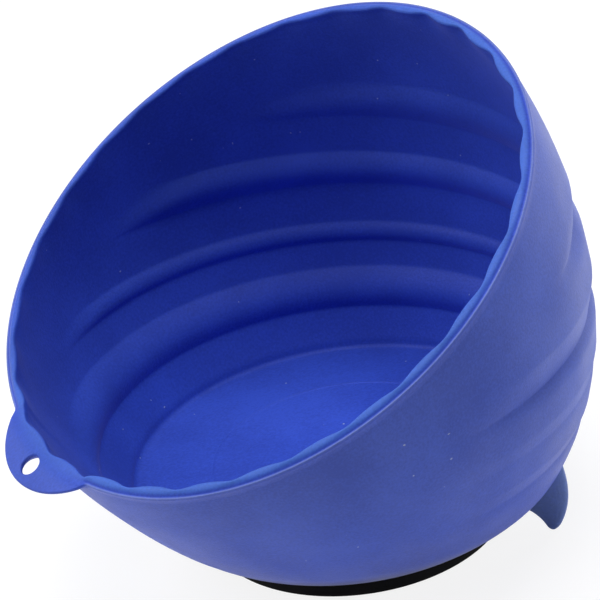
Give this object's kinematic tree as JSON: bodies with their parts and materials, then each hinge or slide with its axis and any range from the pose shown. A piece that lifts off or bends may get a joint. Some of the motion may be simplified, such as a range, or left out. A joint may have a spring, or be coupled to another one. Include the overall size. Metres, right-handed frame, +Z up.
{
  "type": "magnetic parts tray",
  "caption": "Round magnetic parts bowl of soft plastic with a slanted mouth, a rolled flexible wall, a hanging ear and a rubber-covered magnet foot.",
  "frame": {"origin": "centre of the magnet foot's underside, on the surface that it stands on", "axes": "+Z up; -X towards the lowest point of the slanted mouth, near which the hanging ear lies; +Y completes the frame"},
  "size_m": [0.1536, 0.1518, 0.1253],
  "materials": {
    "soft_blue": "soft matte moulding",
    "black_rubber": "matte",
    "ferrite": "dull sintered",
    "plated_steel": "zinc plated",
    "brass": "turned"
  },
  "bodies": {
    "base": {"bowl_base": "soft_blue", "bellows_wall": "soft_blue", "rubber_boot": "black_rubber", "ring_magnet": "ferrite", "spreader_plate": "plated_steel", "clamp_plate": "plated_steel", "insert_nut": "brass", "base_screw": "plated_steel"},
    "rim": {"bowl_rim": "soft_blue"}
  },
  "joints": [
    {"name": "wall_flex", "type": "hinge", "parent": "base", "child": "rim", "pos_m": [-0.0055, 0, 0.036], "axis": [0, 1, 0], "range_deg": [-8, 8], "stiffness_Nm_per_rad": 3, "deforming": ["bellows_wall"]}
  ]
}
